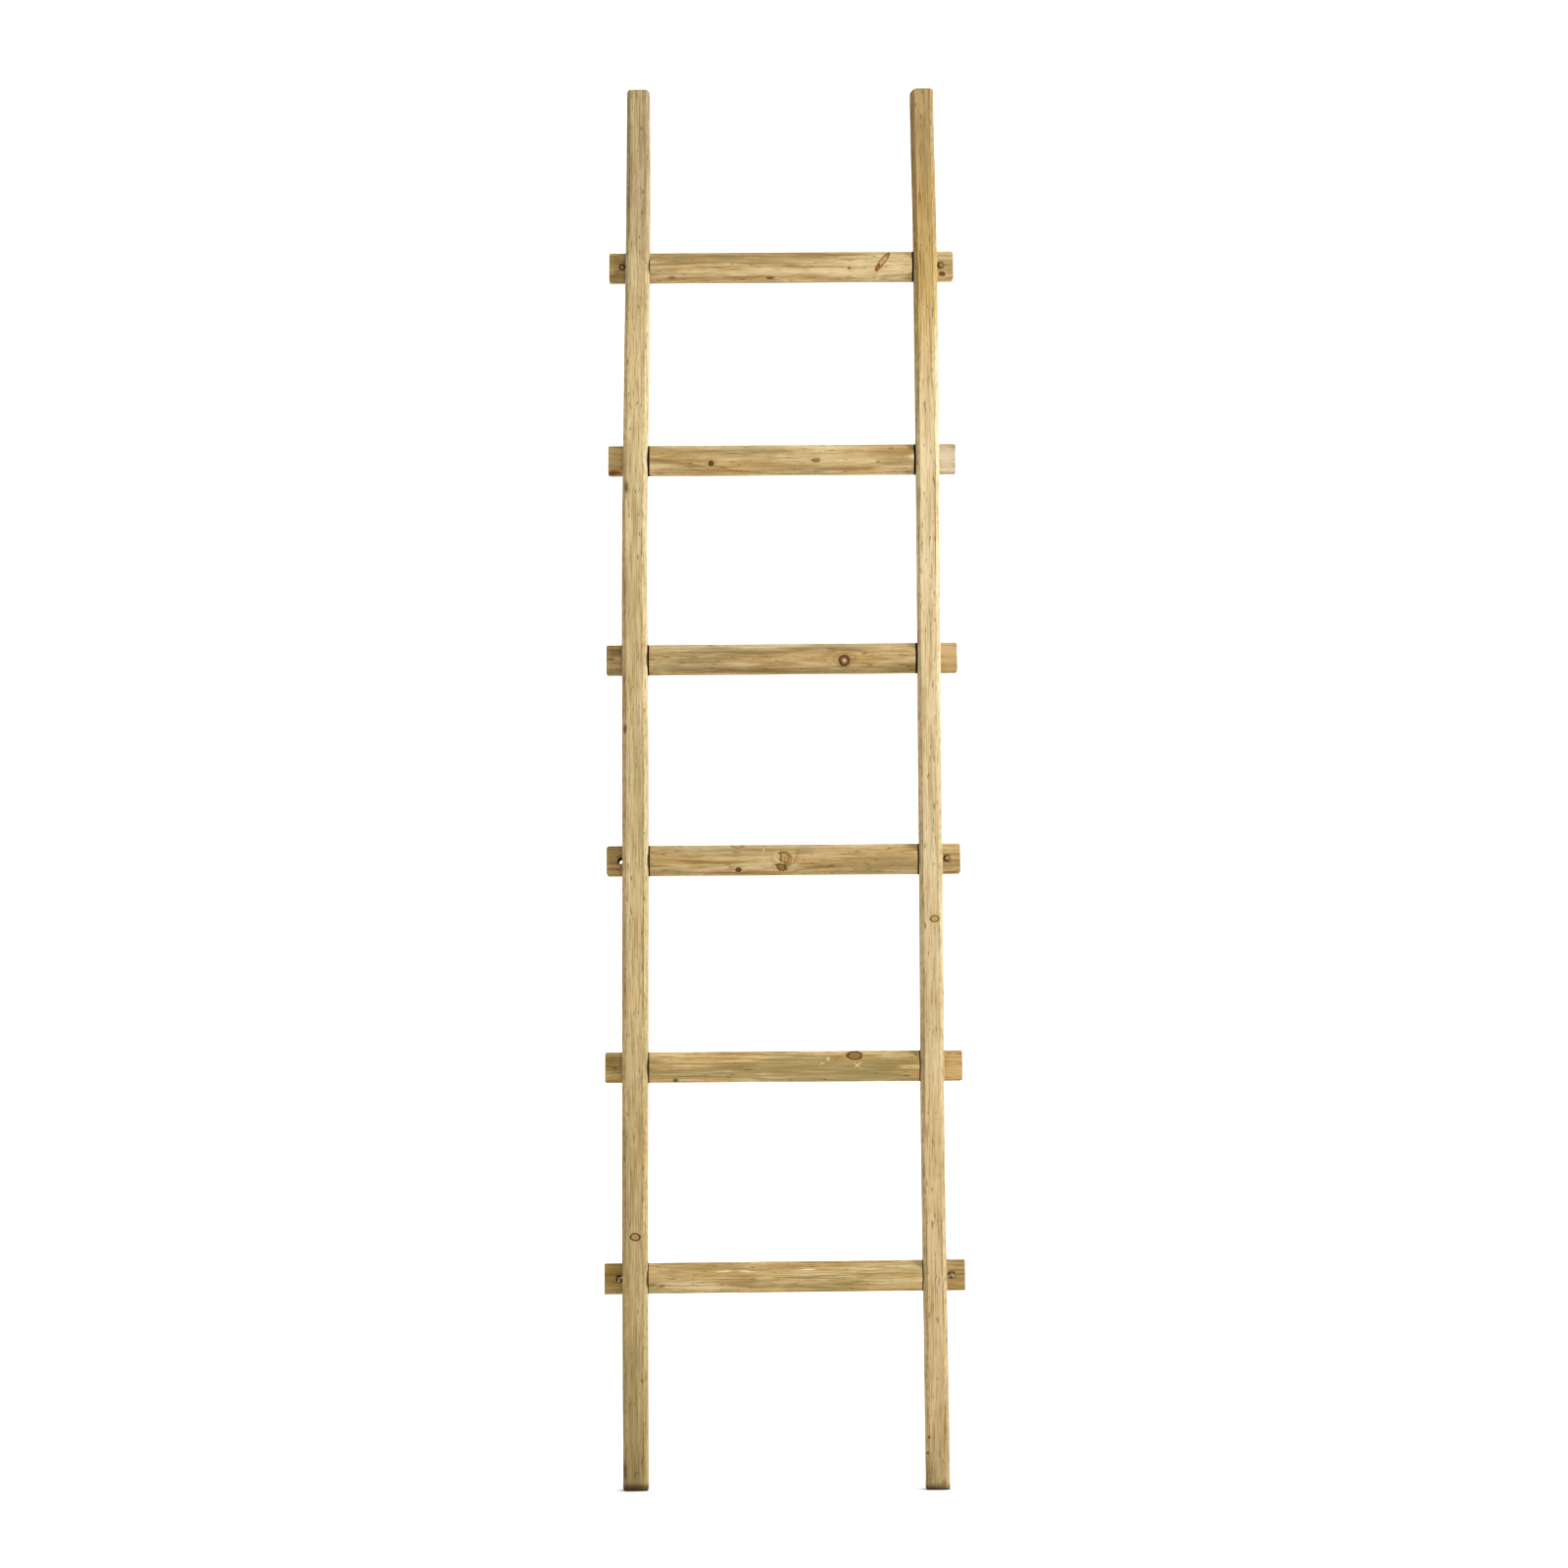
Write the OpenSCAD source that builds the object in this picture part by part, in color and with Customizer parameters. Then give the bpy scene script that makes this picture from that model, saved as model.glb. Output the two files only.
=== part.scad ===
// Wooden ladder: two stiles, six rungs tenoned right through them, and
// round pegs that lock the outermost and middle tenons.
// It is modelled standing upright. X runs along the rungs, -Y is the front,
// Z is up, and the origin is on the floor midway between the feet.

/* [Stiles] */
// Length of a stile from foot to top
stile_height = 1800; // [1700:10:2400]
// Width of a stile seen from the front
stile_width = 31; // [24:1:50]
// Depth of a stile from front to back
stile_depth = 28; // [28:1:45]
// Distance across the outer faces of both stiles
outer_width = 405; // [250:1:600]
// Radius of a stile's four long corners
stile_corner = 5; // [2:0.5:6]
// Radius of the edges around a stile's foot and top
stile_end_radius = 3; // [1:0.5:5]

/* [Rungs] */
// Length of a rung, from tenon end to tenon end
rung_length = 451; // [300:1:640]
// Height of a rung and of its tenons
rung_height = 38.5; // [30:1:50]
// Thickness of a rung at the middle of its crowned faces
rung_depth = 26; // [20:1:27]
// Height of the lowest rung's centre above the floor
lowest_rung = 262; // [150:1:320]
// Even distance from one rung's centre to the next
rung_pitch = 260; // [200:1:280]

/* [Tenons and pegs] */
// Thickness of a tenon, and of a rung along its top and bottom edges
tenon_depth = 14; // [10:1:16]
// Radius of a tenon's long edges
tenon_edge = 3; // [1:0.5:4]
// Radius of the four corners at a tenon's end
tenon_corner = 3; // [1:0.5:6]
// Diameter of the peg holes
hole_diameter = 7.5; // [6.5:0.5:9]
// Diameter of a peg
peg_diameter = 6; // [5:0.5:6]
// Length of a peg
peg_length = 15; // [15:1:30]

/* [Hidden] */

$fn = 96;

left = -1;
right = 1;
rung_count = 6;
// the mortises were marked out by hand: how far each rung sits off the
// even pitch, top rung first
rung_offset = [0, 3, 2, 3, 1, -1];
// which rungs have a hole through each tenon, top rung first
rung_is_pegged = [true, false, false, true, false, true];
// distance between the inner faces of the stiles
inner_width = outer_width - 2 * stile_width;
stile_centre_x = (outer_width - stile_width) / 2;
// the crown of a rung is an arc that rises this far over its half height
crown_rise = (rung_depth - tenon_depth) / 2;
crown_radius = (pow(rung_height / 2, 2) + pow(crown_rise, 2)) / (2 * crown_rise);
// holes and pegs both lie against the stile's outer face
hole_x = (outer_width + hole_diameter) / 2;
peg_x = (outer_width + peg_diameter) / 2;
peg_chamfer = 0.6;
// how far a cutting shape runs past what it cuts
over = 1;

pine = [0.80, 0.68, 0.45];
pine_dark = [0.72, 0.60, 0.40];
peg_wood = [0.62, 0.49, 0.38];

// height of a rung's centre; rung 1 is the top one
function rung_z(n) =
    lowest_rung + (rung_count - n) * rung_pitch + rung_offset[n - 1];

// rectangle centred on the origin with true arcs at its corners
module rounded_rectangle(width, height, radius) {
    square([width - 2 * radius, height], center = true);
    square([width, height - 2 * radius], center = true);
    for (x = [-1, 1], y = [-1, 1])
        translate([x * (width / 2 - radius), y * (height / 2 - radius)])
            circle(r = radius);
}

// extrusions of an outline along each axis, centred on the origin
module along_x(length) {
    rotate([90, 0, 90]) linear_extrude(height = length, center = true) children();
}
module along_y(length) {
    rotate([90, 0, 0]) linear_extrude(height = length, center = true) children();
}
module along_z(length) {
    linear_extrude(height = length, center = true) children();
}

// rectangular slots right through a stile, one for each rung's tenon
module mortises() {
    for (n = [1:rung_count])
        translate([0, 0, rung_z(n)])
            cube([stile_width + 2 * over, tenon_depth, rung_height], center = true);
}

module stile() {
    difference() {
        translate([0, 0, stile_height / 2]) intersection() {
            along_z(stile_height)
                rounded_rectangle(stile_width, stile_depth, stile_corner);
            along_y(stile_depth)
                rounded_rectangle(stile_width, stile_height, stile_end_radius);
            along_x(stile_width)
                rounded_rectangle(stile_depth, stile_height, stile_end_radius);
        }
        mortises();
    }
}

// section of a rung between the stiles: crowned front and back
module rung_outline() {
    intersection() {
        for (side = [-1, 1])
            translate([side * (rung_depth / 2 - crown_radius), 0])
                circle(r = crown_radius, $fn = 240);
        rounded_rectangle(rung_depth, rung_height, tenon_edge);
    }
}

// the whole rung as one bar of tenon thickness, rounded at its ends
module tenon_bar() {
    intersection() {
        along_x(rung_length)
            rounded_rectangle(tenon_depth, rung_height, tenon_edge);
        along_y(tenon_depth)
            rounded_rectangle(rung_length, rung_height, tenon_corner);
    }
}

module rung(n) {
    translate([0, 0, rung_z(n)]) difference() {
        union() {
            along_x(inner_width) rung_outline();
            tenon_bar();
        }
        if (rung_is_pegged[n - 1])
            for (side = [left, right])
                translate([side * hole_x, 0, 0]) rotate([90, 0, 0])
                    cylinder(h = tenon_depth + 2 * over, d = hole_diameter, center = true);
    }
}

// round peg from front to back through a tenon, chamfered at both ends
module peg(n, side) {
    translate([side * peg_x, 0, rung_z(n)]) rotate([90, 0, 0])
        rotate_extrude()
            polygon([
                [0, -peg_length / 2],
                [peg_diameter / 2 - peg_chamfer, -peg_length / 2],
                [peg_diameter / 2, -peg_length / 2 + peg_chamfer],
                [peg_diameter / 2, peg_length / 2 - peg_chamfer],
                [peg_diameter / 2 - peg_chamfer, peg_length / 2],
                [0, peg_length / 2]
            ]);
}

module left_stile() { color(pine) translate([left * stile_centre_x, 0, 0]) stile(); }
module right_stile() { color(pine) translate([right * stile_centre_x, 0, 0]) stile(); }
module rung_1() { color(pine) rung(1); }
module rung_2() { color(pine) rung(2); }
module rung_3() { color(pine_dark) rung(3); }
module rung_4() { color(pine_dark) rung(4); }
module rung_5() { color(pine_dark) rung(5); }
module rung_6() { color(pine) rung(6); }
module peg_1_left() { color(peg_wood) peg(1, left); }
module peg_1_right() { color(peg_wood) peg(1, right); }
module peg_4_right() { color(peg_wood) peg(4, right); }
module peg_6_left() { color(peg_wood) peg(6, left); }
module peg_6_right() { color(peg_wood) peg(6, right); }

left_stile();
right_stile();
rung_1();
rung_2();
rung_3();
rung_4();
rung_5();
rung_6();
peg_1_left();
peg_1_right();
peg_4_right();
peg_6_left();
peg_6_right();
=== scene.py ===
import math

import bpy
import numpy as np
from mathutils import Matrix, Vector


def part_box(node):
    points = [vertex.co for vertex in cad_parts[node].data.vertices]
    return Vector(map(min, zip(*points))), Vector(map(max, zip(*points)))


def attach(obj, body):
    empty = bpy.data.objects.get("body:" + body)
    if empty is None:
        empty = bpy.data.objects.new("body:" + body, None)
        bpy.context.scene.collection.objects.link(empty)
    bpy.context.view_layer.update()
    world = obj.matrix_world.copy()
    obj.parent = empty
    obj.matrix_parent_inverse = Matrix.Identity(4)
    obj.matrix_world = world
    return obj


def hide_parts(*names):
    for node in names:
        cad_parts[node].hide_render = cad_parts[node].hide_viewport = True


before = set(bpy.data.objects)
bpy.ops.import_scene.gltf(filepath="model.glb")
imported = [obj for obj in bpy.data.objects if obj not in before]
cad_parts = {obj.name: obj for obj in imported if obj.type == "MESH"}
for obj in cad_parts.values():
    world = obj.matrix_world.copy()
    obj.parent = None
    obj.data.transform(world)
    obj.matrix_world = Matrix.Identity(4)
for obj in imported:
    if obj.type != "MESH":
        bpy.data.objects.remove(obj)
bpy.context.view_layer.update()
mm = 0.001

cameraLook = {
    "lens": 77.2,           # millimetres
    "sensor": 36,           # its width in millimetres
    "pitch": 8.0,           # degrees: it stands low and looks up along the ladder
    "turn": 0.18,           # degrees about the upright axis
    "roll": -0.267,         # degrees
    "distance": 4.287,      # metres
    "target": (0.0021, 0.0, 0.8827),
    "seesTo": 100,          # metres
}


def addObject(name, data):
    thing = bpy.data.objects.new(name, data)
    bpy.context.scene.collection.objects.link(thing)
    return thing


def aimed(place, direction, roll=0.0):
    # it stands at a place, looks along a direction and is rolled about that
    aim = direction.to_track_quat("-Z", "Y").to_matrix().to_4x4()
    return Matrix.Translation(place) @ aim @ Matrix.Rotation(roll, 4, "Z")


def addCamera(look):
    pitch, turn, roll = (math.radians(look[key]) for key in ("pitch", "turn", "roll"))
    level = math.cos(pitch)
    away = Vector((math.sin(turn) * level, -math.cos(turn) * level, -math.sin(pitch)))
    eye = bpy.data.cameras.new("camera")
    eye.lens = look["lens"]
    eye.sensor_width = look["sensor"]
    eye.clip_end = look["seesTo"]
    camera = addObject("camera", eye)
    camera.matrix_world = aimed(Vector(look["target"]) + look["distance"] * away, -away, roll)
    bpy.context.scene.camera = camera


addCamera(cameraLook)
print("camera placed")


def wobble(t, seed, scale, octaves):
    # a smooth random curve: sines of rising frequency and falling height, with seeded phases
    rng = np.random.default_rng(seed)
    total = np.zeros_like(t)
    for octave in range(octaves):
        waves = 2.0 ** octave * rng.uniform(0.8, 1.25) / scale
        total = total + np.sin(2 * np.pi * waves * t + rng.uniform(0, 2 * np.pi)) / 1.7 ** octave
    return total / 2


def pillow(a, b, seed, scaleB):
    # a smooth random surface: three products of two wobbles
    return sum(wobble(a, seed + k, 1.0, 3) * wobble(b, seed + 50 + k, scaleB, 2) for k in range(3)) / 2


def smoothStep(low, high, value):
    # an S curve from 0 at low to 1 at high: 3 t squared less 2 t cubed
    t = np.clip((value - low) / (high - low), 0, 1)
    return t * t * (3 - 2 * t)


def splineThrough(knots, where):
    # smooth curve through a few given points: cubic pieces with slopes from the neighbours
    at, value = (np.array(v, float) for v in zip(*knots))
    slope = np.gradient(value, at)
    k = np.clip(np.searchsorted(at, where) - 1, 0, len(at) - 2)
    span = at[k + 1] - at[k]
    t = (where - at[k]) / span
    return ((1 + 2 * t) * (1 - t) ** 2 * value[k] + t * (1 - t) ** 2 * span * slope[k]
            + t * t * (3 - 2 * t) * value[k + 1] + t * t * (t - 1) * span * slope[k + 1])


def nearest(values, wanted):
    return int(np.argmin(np.abs(values - wanted)))


def middleOf(node):
    low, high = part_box(node)
    return (low + high) / 2


def meshFrom(name, points, faces, smoothAngle=38):
    mesh = bpy.data.meshes.new(name)
    mesh.from_pydata(points.reshape(-1, 3).tolist(), [], faces)
    mesh.validate()
    mesh.shade_smooth()
    mesh.set_sharp_from_angle(angle=math.radians(smoothAngle))
    return addObject(name, mesh)


def paint(piece, name, values):
    layer = piece.data.attributes.new(name, "FLOAT", "POINT")
    layer.data.foreach_set("value", np.asarray(values, np.float32).ravel())


def sharpenAlong(piece, marked):
    # the edges that join two marked points get a hard crease
    mesh = piece.data
    ends = np.empty(2 * len(mesh.edges), np.int32)
    mesh.edges.foreach_get("vertices", ends)
    both = np.asarray(marked, bool).ravel()[ends.reshape(-1, 2)].all(1)
    layer = mesh.attributes.get("sharp_edge") or mesh.attributes.new("sharp_edge", "BOOLEAN", "EDGE")
    sharp = np.empty(len(mesh.edges), bool)
    layer.data.foreach_get("value", sharp)
    layer.data.foreach_set("value", sharp | both)


def gridFaces(rows, columns):
    # four corners of every cell of a grid that closes on itself round its columns
    i, j = np.meshgrid(np.arange(rows - 1), np.arange(columns), indexing="ij")
    k = (j + 1) % columns
    return np.stack([i * columns + j, i * columns + k, (i + 1) * columns + k, (i + 1) * columns + j], -1)


def endFaces(rows, columns):
    # one face over the grid's first ring of points and one, turned the other way, over its last
    first = list(range(columns))
    last = [(rows - 1) * columns + k for k in first]
    return [first, last[::-1]]


def bandFaces(first, second):
    # quads between two closed loops of points that have as many points each
    return np.stack([first, np.roll(first, -1), np.roll(second, -1), second], -1)


def windowLoop(firstRow, lastRow, strip, columns):
    # the points round a rectangular window in a grid: along, up, back and down
    up = np.arange(firstRow + 1, lastRow + 1) * columns + strip[-1]
    down = np.arange(lastRow - 1, firstRow, -1) * columns + strip[0]
    return np.concatenate([firstRow * columns + strip, up, lastRow * columns + strip[-2::-1], down])


def quarterPull(distance, radius):
    # how far a surface draws in at this distance from an end: a quarter circle
    t = np.clip(distance / radius, 0, 1)
    return radius * (1 - np.sqrt(1 - (1 - t) ** 2))


# sizes in millimetres, heights in metres. bow: sideways set at each height; shrink: how much
# narrower the stile is there than its width; corner: front right, front left, back left and back
# right; topWear: at the left, at the right, and at front and back
stileLook = {
    "left": {
        "seed": 11,
        "width": 33.0,
        "bow": [(0.0, 2.1), (0.18, 0.8), (0.42, 0.1), (0.67, 0.15), (0.92, -0.35), (1.17, -1.85), (1.43, 0.6),
                (1.64, 2.4), (1.8, 2.5)],
        "shrink": [(0.0, 1.7), (0.18, 1.5), (0.42, 0.5), (0.67, -0.2), (0.92, -0.3), (1.17, 1.0), (1.43, 0.7),
                   (1.64, 1.8), (1.75, 3.0), (1.8, 3.4)],
        "corner": (6.0, 4.6, 4.5, 4.5),
        "topWear": (4.0, 4.0, 0.5),
    },
    "right": {
        "seed": 23,
        "width": 30.6,
        "bow": [(0.0, 1.7), (0.18, 0.95), (0.42, -0.3), (0.67, 0.6), (0.92, 0.95), (1.17, 1.7), (1.43, 2.3),
                (1.64, 1.4), (1.745, -0.1), (1.8, -0.5)],
        "shrink": [(0.0, 0.5), (0.18, 1.1), (0.67, 0.8), (1.17, 1.2), (1.43, -0.6), (1.64, 0.1), (1.8, 0.0)],
        "corner": (5.4, 4.6, 4.5, 4.5),
        "topWear": (8.0, 3.6, 2.0),
    },
}
# angles in degrees; depth: how deep a corner is for its width
planedCorner = {"crease": 20, "slowTurn": 12, "roll": 46, "depth": 0.75, "points": 10}
wornEdge = {"depth": 0.75, "ease": 1.3}
# in millimetres: rows up from the foot, rows down from the top, and the step between the mortises
stileGrid = {"foot": (0, 0.8, 1.8, 3.0), "top": (8.0, 6.4, 5.0, 3.8, 2.8, 1.8, 0.9, 0), "step": 5.0,
             "firstStep": 4.0, "perSide": 6, "perFace": 10, "cap": (0.9, 0.7, 0.45, 0.2)}
# how deep planer waves, their ripple and the corners' bruises go, in millimetres
stileSkin = {"wave": 0.14, "ripple": 0.05, "bruise": 0.16}
endWear = 12 * mm
footRound = 3.0 * mm
# the section's straight runs have even numbers and its corners odd ones
rightSide, leftSide, frontFace = 0, 4, 6
rungNames = ["rung_%d" % n for n in range(1, 7)]
rungLow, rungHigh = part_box("rung_1")
clearance = 0.1 * mm
tenonHalfDepth = 7 * mm
mortise = {"halfHeight": (rungHigh.z - rungLow.z) / 2 + clearance, "halfDepth": tenonHalfDepth + clearance}


def heightAlong(name, x):
    # the height of a rung's middle line, which may slope a little, at x
    return middleOf(name).z + rungLook[name]["rise"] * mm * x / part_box(name)[1].x


def stileBow(side, heights):
    return splineThrough(stileLook[side]["bow"], np.asarray(heights, float)) * mm


def stileShrink(side, heights):
    return np.interp(heights, *zip(*stileLook[side]["shrink"])) * mm


def innerFace(side, height):
    # where the stile's inner face stands at this height
    halfWidth = (stileLook[side]["width"] * mm - stileShrink(side, height)) / 2
    towards = 1 if side == "left" else -1
    return float(middleOf(side + "_stile").x + stileBow(side, height) + towards * halfWidth)


def straightRun(a, b, count):
    t = np.linspace(0, 1, count)[:, None]
    return np.array(a) * (1 - t) + np.array(b) * t


def easedCorner(size):
    # the run of a planed corner: it leaves the face at a crease, turns little for most of its
    # width and then rolls into the side; how far along the face and in from it
    look = planedCorner
    s = np.linspace(0, 1, look["points"])
    heading = np.radians(look["crease"] + look["slowTurn"] * s + look["roll"] * s ** 4)
    along = np.concatenate([[0], np.cumsum(np.cos(heading[:-1]))])
    inward = np.concatenate([[0], np.cumsum(np.sin(heading[:-1]))])
    return size * along / along[-1], look["depth"] * size * inward / inward[-1]


def stileSection(width, depth, corners):
    # once round the section, anticlockwise seen from above, from the mortise in the right side on:
    # a straight run for each side in turn and a corner after each; which run each point is in
    halfW, halfD = width / 2, depth / 2
    slotY = mortise["halfDepth"]
    perSide, perFace = stileGrid["perSide"], stileGrid["perFace"]

    def corner(size, toX, toY, reverse):
        along, inward = easedCorner(size)
        points = np.stack([toX * (halfW - size + along), toY * (halfD - inward)], -1)
        return points[::-1] if reverse else points

    frontRight, frontLeft, backLeft, backRight = corners
    runs = [
        straightRun((halfW, -slotY), (halfW, slotY), perSide),
        corner(backRight, 1, 1, True),
        straightRun((halfW - backRight, halfD), (-halfW + backLeft, halfD), perFace)[1:-1],
        corner(backLeft, -1, 1, False),
        straightRun((-halfW, slotY), (-halfW, -slotY), perSide),
        corner(frontLeft, -1, -1, True),
        straightRun((-halfW + frontLeft, -halfD), (halfW - frontRight, -halfD), perFace)[1:-1],
        corner(frontRight, 1, -1, False),
    ]
    return np.concatenate(runs), np.repeat(np.arange(len(runs)), [len(run) for run in runs])


def stileRows(height, centres):
    # rows close together at the two rounded ends and at the mortises, and a step apart elsewhere
    foot, top = (np.array(stileGrid[key]) * mm for key in ("foot", "top"))
    edges = sorted(z + s * mortise["halfHeight"] for z in centres for s in (-1, 1))
    stops = [stileGrid["firstStep"] * mm] + edges + [height - top[0]]
    rows = [foot]
    for low, high in zip(stops[:-1], stops[1:]):
        count = max(2, int(round((high - low) / (stileGrid["step"] * mm))))
        rows.append(np.linspace(low, high, count, endpoint=False))
    return np.concatenate([*rows, height - top])


def wornDrop(distance, size):
    # how far the top drops at this distance from a side: an eased chamfer
    return size * wornEdge["depth"] * np.clip(1 - distance / size, 0, 1) ** wornEdge["ease"]


def topDrop(look, x, y, halfWidth, halfDepth):
    # each edge of the top is worn down by its own amount, and the deepest wear counts
    leftWear, rightWear, faceWear = (size * mm for size in look["topWear"])
    sides = np.maximum(wornDrop(x + halfWidth, leftWear), wornDrop(halfWidth - x, rightWear))
    return np.maximum(sides, wornDrop(halfDepth - np.abs(y), faceWear))


def woodTaken(look, x, y, z, isCorner):
    # how much wood is gone at each point: planer waves everywhere, and bruises along the corners
    seed = look["seed"]
    around = np.arctan2(y, x)
    wave = stileSkin["wave"] * mm * pillow(z * 3, around, seed, 3.1)
    wave = wave + stileSkin["ripple"] * mm * pillow(z * 14, around, seed + 7, 2.0)
    dents = np.clip(wobble(z * 5, seed + 3, 1.0, 5) + 0.6 * np.sin(3 * around) - 0.75, 0, 1)
    return np.where(isCorner, stileSkin["bruise"] * mm * dents, 0) - np.minimum(wave, 0)


def stileFaces(rows, runs, centres):
    # the grid's cells without a window in both sides at each rung; a mortise's walls join its two
    # windows, and one face each closes the foot and the top
    columns = len(runs)
    cells = gridFaces(len(rows), columns)
    keep = np.ones(cells.shape[:2], bool)
    rightStrip, leftStrip = np.flatnonzero(runs == rightSide), np.flatnonzero(runs == leftSide)[::-1]
    walls = []
    for centre in centres:
        first, last = (nearest(rows, centre + s * mortise["halfHeight"]) for s in (-1, 1))
        keep[first:last, rightStrip[:-1]] = False
        keep[first:last, leftStrip[1:]] = False
        mouths = [windowLoop(first, last, strip, columns) for strip in (rightStrip, leftStrip)]
        walls.append(bandFaces(*mouths))
    ends = [face[::-1] for face in endFaces(len(rows), columns)]
    return np.concatenate([cells[keep], *walls]).tolist() + ends


def makeStile(side):
    # the section repeated at every row of heights, bowed and worn, then four shrinking rings
    # that close the top; windows in the two sides are joined through as mortises
    look = stileLook[side]
    node = side + "_stile"
    low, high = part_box(node)
    middleX = middleOf(node).x
    width, depth, height = look["width"] * mm, high.y - low.y, high.z
    section, runs = stileSection(width, depth, [size * mm for size in look["corner"]])
    isCorner = (runs % 2 == 1)[None, :]
    inSlot = ((runs == rightSide) | (runs == leftSide))[None, :]
    centres = [heightAlong(name, middleX) for name in rungNames]
    cap = stileGrid["cap"]
    rows = np.concatenate([stileRows(height, centres), np.full(len(cap), height)])[:, None]
    scale = np.concatenate([np.ones(len(rows) - len(cap)), cap])[:, None]
    shrink = stileShrink(side, rows)
    z = np.repeat(rows, len(runs), 1)
    x = section[None, :, 0] * scale * (1 - shrink / width)
    y = section[None, :, 1] * scale
    pull = quarterPull(rows, footRound)
    x = np.sign(x) * np.maximum(np.abs(x) - pull, 0)
    y = np.sign(y) * np.maximum(np.abs(y) - pull, 0)
    inward = np.where(inSlot | (scale < 1), 0, woodTaken(look, x, y, z, isCorner))
    x = x - np.sign(x) * inward * (np.abs(x) > width * 0.3)
    y = y - np.sign(y) * inward * (np.abs(y) > depth * 0.3)
    wearStart = height - stileGrid["top"][0] * mm
    drop = topDrop(look, x, y, (width - shrink) / 2, depth / 2)
    top = z - drop * smoothStep(wearStart, height, rows)
    points = np.stack([middleX + x + stileBow(side, rows), y, top], -1)
    piece = meshFrom(node + "_wood", points, stileFaces(rows[:, 0], runs, centres))
    nearFoot, nearTop = 1 - smoothStep(0, endWear, z), smoothStep(height - endWear, height, z) * (scale == 1)
    paint(piece, "edgeWear", np.maximum(isCorner * 1.0, np.maximum(nearFoot, nearTop)))
    # the two creases where the front corners leave the front face
    besideFront = (np.roll(runs, -1) == frontFace) | (np.roll(runs, 1) == frontFace)
    creased = isCorner & besideFront[None, :] & (scale == 1)
    sharpenAlong(piece, creased)
    paint(piece, "crease", creased * 1.0)
    paint(piece, "paintedGapShade", np.zeros(points.shape[:2]))
    return piece


# all in millimetres, left then right. reach: where the tenon ends; corner: radius of its corners;
# gap: how far each shoulder stands off its stile; rise: how much higher the right end sits than the
# middle; holes: where the peg holes are
rungLook = {
    "rung_1": {"seed": 101, "reach": (222.4, 225.5), "corner": (2.8, 3.6), "gap": (0.0, 2.0), "rise": 0.2,
               "holes": (-205.0, 208.4)},
    "rung_2": {"seed": 102, "reach": (223.0, 225.5), "corner": (2.2, 2.4), "gap": (2.2, 2.4), "rise": 0.3},
    "rung_3": {"seed": 103, "reach": (224.5, 224.6), "corner": (2.2, 3.2), "gap": (2.1, 2.4), "rise": 0.7},
    "rung_4": {"seed": 104, "reach": (223.6, 225.5), "corner": (3.6, 3.4), "gap": (1.7, 1.8), "rise": 0.7,
               "holes": (-205.2, 208.0)},
    "rung_5": {"seed": 105, "reach": (224.8, 225.0), "corner": (2.4, 3.0), "gap": (1.3, 1.1), "rise": 0.5},
    "rung_6": {"seed": 106, "reach": (224.8, 225.3), "corner": (0.9, 1.1), "gap": (0.9, 0.8), "rise": 1.6,
               "holes": (-206.0, 207.6)},
}
tenon = {"edge": 2.6 * mm, "endRound": 3.2 * mm, "brim": 0.9 * mm}
rungGrid = {"perFace": 21, "perEdge": 5, "perFlat": 6, "tipRows": 5, "tenonRows": 26, "bodyRows": 156}
# where a shoulder's foot, lip and full height lie off its corner, and how much of the crown stands
# at the corner and at the lip
shoulder = {"foot": 0.05 * mm, "lip": 0.15 * mm, "body": 0.5 * mm, "crown": (0.955, 0.985)}
rungSkin = {"wave": 0.30, "ripple": 0.10, "sag": 0.15}      # millimetres
edgeWorn = {"from": 4 * mm, "to": 0.5 * mm, "end": 3 * mm}
gapShade = 8 * mm
# out and down: where each ring of a hole's rim stands, as shares of the rim
hole = {"radius": 3.75 * mm, "rim": 0.45 * mm, "slant": (1.1 * mm, -1.7 * mm), "window": 2.2 * mm,
        "out": (1, 0.1, 0), "down": (0, 0.35, 1)}


def rungSection(halfHeight, crown):
    # once round the section in the upright plane: front face from bottom to top, rounded top edge,
    # back face from top to bottom, rounded bottom edge; each face bulges by crown as an arc
    halfDepth, edge, perFlat = tenonHalfDepth, tenon["edge"], rungGrid["perFlat"]
    t = np.linspace(-1, 1, rungGrid["perFace"])
    rise = crown * (1 - t * t)
    zFace = t * (halfHeight - edge)
    corner = np.linspace(0, np.pi / 2, rungGrid["perEdge"] + 2)[1:-1]
    edgeY = -halfDepth + edge - edge * np.cos(corner)
    edgeZ = halfHeight - edge + edge * np.sin(corner)
    flat = np.linspace(-1, 1, perFlat)
    level = np.full(perFlat, halfHeight)
    y = np.concatenate([-halfDepth - rise, edgeY, flat * (halfDepth - edge), -edgeY[::-1],
                        (halfDepth + rise)[::-1], -edgeY, -flat * (halfDepth - edge), edgeY[::-1]])
    z = np.concatenate([zFace, edgeZ, level, edgeZ[::-1], zFace[::-1], -edgeZ, -level, -edgeZ[::-1]])
    return y, z


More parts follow.
